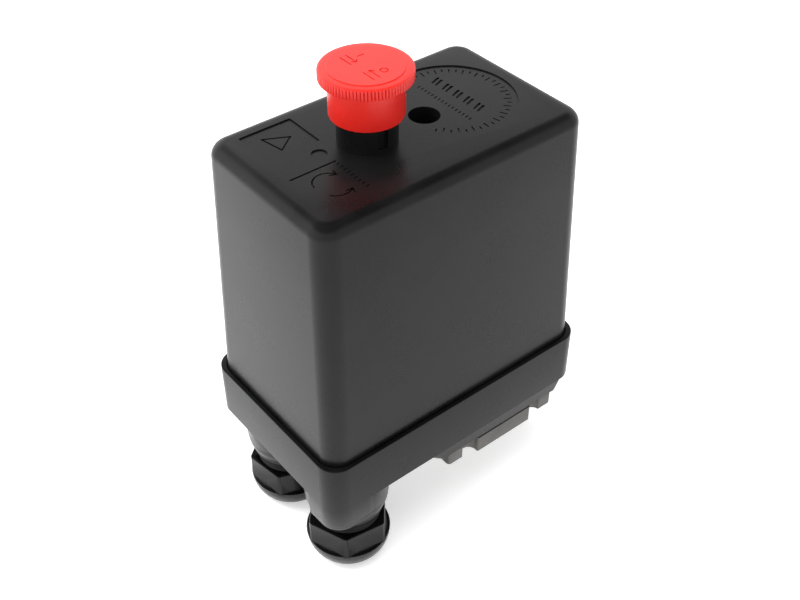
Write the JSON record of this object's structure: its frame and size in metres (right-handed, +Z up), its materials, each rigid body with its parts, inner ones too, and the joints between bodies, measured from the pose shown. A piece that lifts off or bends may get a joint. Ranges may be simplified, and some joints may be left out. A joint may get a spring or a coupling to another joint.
{
  "type": "pressure switch",
  "caption": "Compressor pressure switch: a tall box cover with a push-pull knob on top, a base with cable glands hanging below, and a cast flange with a pressure port.",
  "frame": {"origin": "centre of the pressure port's bottom face", "axes": "+Z up along the port; +X away from the cable glands; -Y is a long side of the housing"},
  "size_m": [0.095, 0.06, 0.1488],
  "materials": {
    "black_plastic": "satin moulded",
    "red_plastic": "semi-gloss moulded",
    "gland_plastic": "semi-gloss moulded",
    "cast_zinc": "as cast, tumbled",
    "black_rubber": "matt",
    "zinc_plated_steel": "zinc plated",
    "screw_steel": "plated",
    "spring_steel": "drawn wire",
    "brass": "stamped",
    "block_plastic": "moulded",
    "carrier_plastic": "moulded"
  },
  "bodies": {
    "housing": {"base": "black_plastic", "pressure_flange": "cast_zinc", "flange_screw_1": "screw_steel", "flange_screw_2": "screw_steel", "flange_screw_3": "screw_steel", "flange_screw_4": "screw_steel", "diaphragm": "black_rubber", "frame_bracket": "zinc_plated_steel", "frame_screw_1": "screw_steel", "frame_screw_2": "screw_steel", "frame_screw_3": "screw_steel", "frame_screw_4": "screw_steel", "earth_screw": "brass", "pivot_pin": "screw_steel", "cover_post": "zinc_plated_steel", "terminal_block": "block_plastic", "block_screw_1": "screw_steel", "block_screw_2": "screw_steel", "fixed_contact_1": "brass", "fixed_contact_2": "brass", "fixed_contact_3": "brass", "fixed_contact_4": "brass", "terminal_screw_1": "screw_steel", "terminal_screw_2": "screw_steel", "terminal_screw_3": "screw_steel", "terminal_screw_4": "screw_steel", "main_spring": "spring_steel", "differential_spring": "spring_steel"},
    "cover": {"cover": "black_plastic", "knob_bush": "gland_plastic", "cover_screw": "screw_steel"},
    "knob": {"knob": "red_plastic", "knob_shaft": "zinc_plated_steel"},
    "piston": {"piston": "cast_zinc"},
    "rocker": {"rocker": "zinc_plated_steel", "spring_seat": "zinc_plated_steel"},
    "trip_lever": {"trip_lever": "zinc_plated_steel"},
    "contact_carrier": {"contact_carrier": "carrier_plastic", "contact_bridge_front": "brass", "contact_bridge_rear": "brass", "contact_spring_front": "spring_steel", "contact_spring_rear": "spring_steel"},
    "range_screw": {"range_screw": "screw_steel"},
    "range_nut": {"range_nut": "zinc_plated_steel"},
    "differential_screw": {"differential_screw": "screw_steel"},
    "differential_nut": {"differential_nut": "zinc_plated_steel"},
    "gland_ring_front": {"gland_ring_front": "zinc_plated_steel"},
    "gland_nut_front": {"gland_nut_front": "gland_plastic", "gland_seal_front": "black_rubber"},
    "gland_ring_rear": {"gland_ring_rear": "zinc_plated_steel"},
    "gland_nut_rear": {"gland_nut_rear": "gland_plastic", "gland_seal_rear": "black_rubber"}
  },
  "joints": [
    {"name": "cover_lift", "type": "slide", "parent": "housing", "child": "cover", "axis": [0, 0, 1], "range_m": [0, 0.11]},
    {"name": "knob_slide", "type": "slide", "parent": "cover", "child": "knob", "axis": [0, 0, 1], "range_m": [-0.0045, 0]},
    {"name": "trip_tilt", "type": "hinge", "parent": "housing", "child": "trip_lever", "pos_m": [-0.012, 0, 0.049], "axis": [0, -1, 0], "range_deg": [0, 15]},
    {"name": "piston_lift", "type": "slide", "parent": "housing", "child": "piston", "axis": [0, 0, 1], "range_m": [0, 0.0012], "stiffness_N_per_m": 3000},
    {"name": "rocker_tilt", "type": "hinge", "parent": "housing", "child": "rocker", "pos_m": [-0.012, 0, 0.049], "axis": [0, -1, 0], "range_deg": [0, 6]},
    {"name": "carrier_swing", "type": "hinge", "parent": "trip_lever", "child": "contact_carrier", "pos_m": [-0.012, 0, 0.049], "axis": [0, -1, 0], "range_deg": [0, 6]},
    {"name": "range_screw_turn", "type": "hinge", "parent": "housing", "child": "range_screw", "pos_m": [0, 0, 0.088], "axis": [0, 0, 1], "range_deg": [-720, 720]},
    {"name": "range_nut_slide", "type": "slide", "parent": "housing", "child": "range_nut", "axis": [0, 0, 1], "range_m": [-0.0016, 0.0016], "deforming": ["main_spring"]},
    {"name": "differential_screw_turn", "type": "hinge", "parent": "housing", "child": "differential_screw", "pos_m": [0.002, 0.0102, 0.088], "axis": [0, 0, 1], "range_deg": [-720, 720]},
    {"name": "differential_nut_slide", "type": "slide", "parent": "housing", "child": "differential_nut", "axis": [0, 0, 1], "range_m": [-0.001, 0.001], "deforming": ["differential_spring"]},
    {"name": "gland_ring_front_slide", "type": "slide", "parent": "housing", "child": "gland_ring_front", "axis": [0, 0, -1], "range_m": [0, 0.0031]},
    {"name": "gland_nut_front_turn", "type": "hinge", "parent": "gland_ring_front", "child": "gland_nut_front", "pos_m": [-0.0532, -0.0172, 0], "axis": [0, 0, 1], "range_deg": [0, 720]},
    {"name": "gland_ring_rear_slide", "type": "slide", "parent": "housing", "child": "gland_ring_rear", "axis": [0, 0, -1], "range_m": [0, 0.0031]},
    {"name": "gland_nut_rear_turn", "type": "hinge", "parent": "gland_ring_rear", "child": "gland_nut_rear", "pos_m": [-0.0532, 0.0131, 0], "axis": [0, 0, 1], "range_deg": [0, 720]}
  ],
  "couplings": [
    {"joint": "trip_tilt", "follows": "knob_slide", "rad_per_m": -57.5},
    {"joint": "rocker_tilt", "follows": "piston_lift", "rad_per_m": 83.333},
    {"joint": "carrier_swing", "follows": "piston_lift", "rad_per_m": 83.333},
    {"joint": "range_screw_turn", "follows": "range_nut_slide", "rad_per_m": 7854},
    {"joint": "differential_screw_turn", "follows": "differential_nut_slide", "rad_per_m": 12566},
    {"joint": "gland_ring_front_slide", "follows": "gland_nut_front_turn", "m_per_rad": 0.00023873},
    {"joint": "gland_ring_rear_slide", "follows": "gland_nut_rear_turn", "m_per_rad": 0.00023873}
  ]
}
